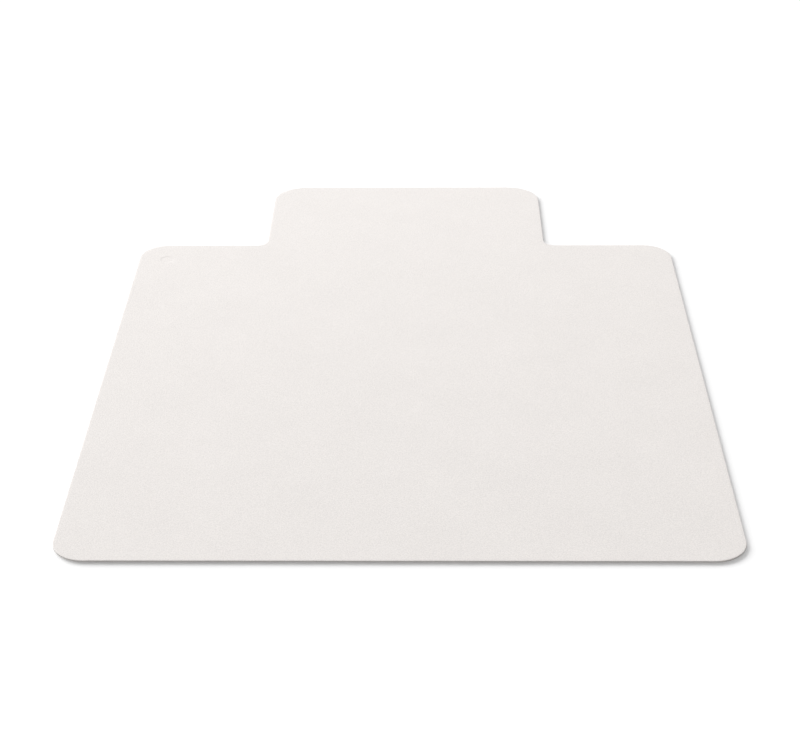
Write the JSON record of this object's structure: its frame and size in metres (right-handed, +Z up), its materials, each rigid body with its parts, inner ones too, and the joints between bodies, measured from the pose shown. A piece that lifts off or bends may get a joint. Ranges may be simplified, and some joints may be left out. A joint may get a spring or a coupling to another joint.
{
  "type": "chair mat",
  "caption": "Frosted clear vinyl chair mat for carpet: flat rounded panel with a narrower lip at one end, and gripper studs underneath.",
  "frame": {"origin": "on the floor, under the centre of the rectangle that bounds the mat; the tip of the middle stud stands on it", "axes": "+Z up, +Y from the panel's free edge towards the end of the lip, +X to the right of a person who faces the lip"},
  "size_m": [0.9144, 1.2192, 0.005],
  "materials": {
    "vinyl": "frosted translucent off-white vinyl with a fine pebble grain on top, soft sheen"
  },
  "bodies": {
    "root": {"mat_sheet": "vinyl", "corner_studs": "vinyl", "panel_studs": "vinyl", "lip_studs": "vinyl"}
  },
  "joints": []
}
